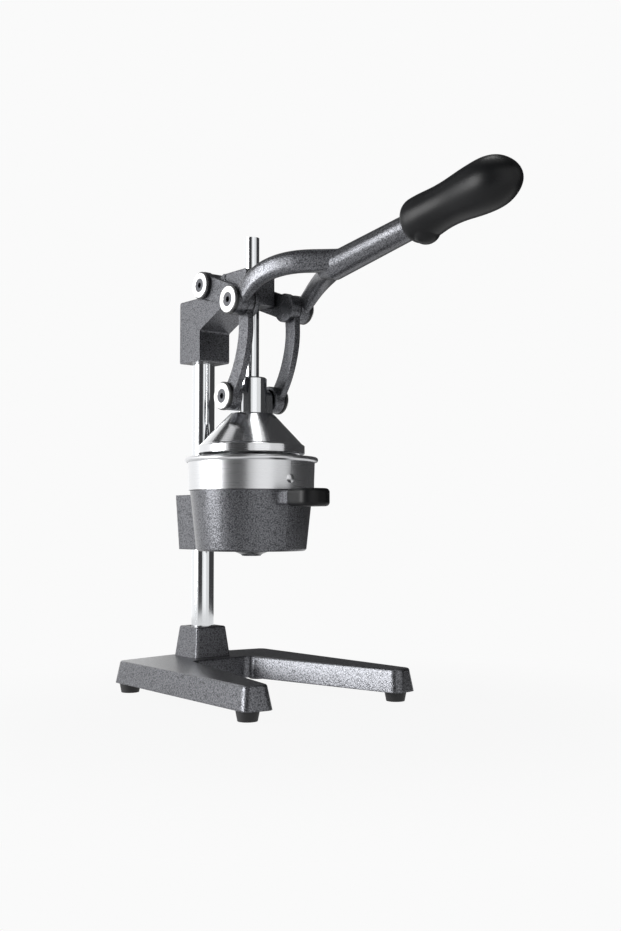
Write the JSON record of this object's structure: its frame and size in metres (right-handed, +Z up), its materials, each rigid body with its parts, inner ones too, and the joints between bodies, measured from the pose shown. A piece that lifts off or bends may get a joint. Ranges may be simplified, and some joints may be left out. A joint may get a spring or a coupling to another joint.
{
  "type": "citrus press",
  "caption": "Hand-levered citrus press: cast U-shaped base, chrome column, cup with strainer bowl, and a bell cone on a press rod driven by a forked lever through links.",
  "frame": {"origin": "on the floor plane, under the middle of the length and of the width; the press rod's axis is 0.103 m towards the column from it", "axes": "+Z up, +X towards the lever's handle and the open end of the base, +Y to the far side link"},
  "size_m": [0.4178, 0.1816, 0.414],
  "materials": {
    "hammertone_cast": "grey hammertone enamel on rough castings",
    "rubber": "matt black moulded rubber",
    "chrome": "bright chrome plate",
    "polished_steel": "mirror-polished stainless steel",
    "brushed_steel": "satin stainless steel, brushed round",
    "black_plastic": "satin black moulded plastic",
    "zinc_steel": "zinc-plated screw",
    "bolt_steel": "dark grey socket bolt",
    "nylon": "black nylon",
    "washer_steel": "bright turned washer"
  },
  "bodies": {
    "stand": {"base_casting": "hammertone_cast", "foot_front_near": "rubber", "foot_front_far": "rubber", "foot_rear_near": "rubber", "foot_rear_far": "rubber", "column": "chrome", "cup_holder": "hammertone_cast", "handle_tab": "black_plastic", "head_casting": "hammertone_cast", "head_screw": "zinc_steel", "cup_screw": "zinc_steel", "fulcrum_bolt_near": "bolt_steel", "fulcrum_bolt_far": "bolt_steel", "fulcrum_ring_near": "nylon", "fulcrum_ring_far": "nylon", "fulcrum_washer_near": "washer_steel", "fulcrum_washer_far": "washer_steel"},
    "lever": {"lever_casting": "hammertone_cast", "grip": "black_plastic", "fulcrum_link_near": "hammertone_cast", "fulcrum_link_far": "hammertone_cast", "knuckle_bolt_near": "bolt_steel", "knuckle_bolt_far": "bolt_steel", "knuckle_ring_near": "nylon", "knuckle_ring_far": "nylon", "knuckle_washer_near": "washer_steel", "knuckle_washer_far": "washer_steel"},
    "link_near": {"connecting_link_near": "hammertone_cast"},
    "link_far": {"connecting_link_far": "hammertone_cast"},
    "ram": {"press_rod": "chrome", "press_hub": "chrome", "press_cone": "polished_steel", "crosshead_bolt_near": "bolt_steel", "crosshead_bolt_far": "bolt_steel", "crosshead_ring_near": "nylon", "crosshead_ring_far": "nylon", "crosshead_washer_near": "washer_steel", "crosshead_washer_far": "washer_steel"},
    "bowl": {"strainer_bowl": "brushed_steel"}
  },
  "joints": [
    {"name": "lever_swing", "type": "hinge", "parent": "stand", "child": "lever", "pos_m": [-0.14813, 0, 0.3724], "axis": [0, 1, 0], "range_deg": [-22, 20]},
    {"name": "ram_slide", "type": "slide", "parent": "stand", "child": "ram", "axis": [0, 0, -1], "range_m": [-0.02873, 0.02613]},
    {"name": "link_near_turn", "type": "hinge", "parent": "lever", "child": "link_near", "pos_m": [-0.07943, -0.026, 0.3467], "axis": [0, 1, 0], "range_deg": [-26.01, 28.6]},
    {"name": "link_far_turn", "type": "hinge", "parent": "lever", "child": "link_far", "pos_m": [-0.07943, 0.026, 0.3467], "axis": [0, 1, 0], "range_deg": [-26.01, 28.6]},
    {"name": "bowl_lift", "type": "slide", "parent": "stand", "child": "bowl", "axis": [0, 0, 1], "range_m": [0, 0.012]}
  ],
  "couplings": [
    {"joint": "ram_slide", "follows": "lever_swing", "m_per_rad": 0.07456},
    {"joint": "link_near_turn", "follows": "lever_swing", "ratio": -1.2954},
    {"joint": "link_far_turn", "follows": "lever_swing", "ratio": -1.2954}
  ]
}
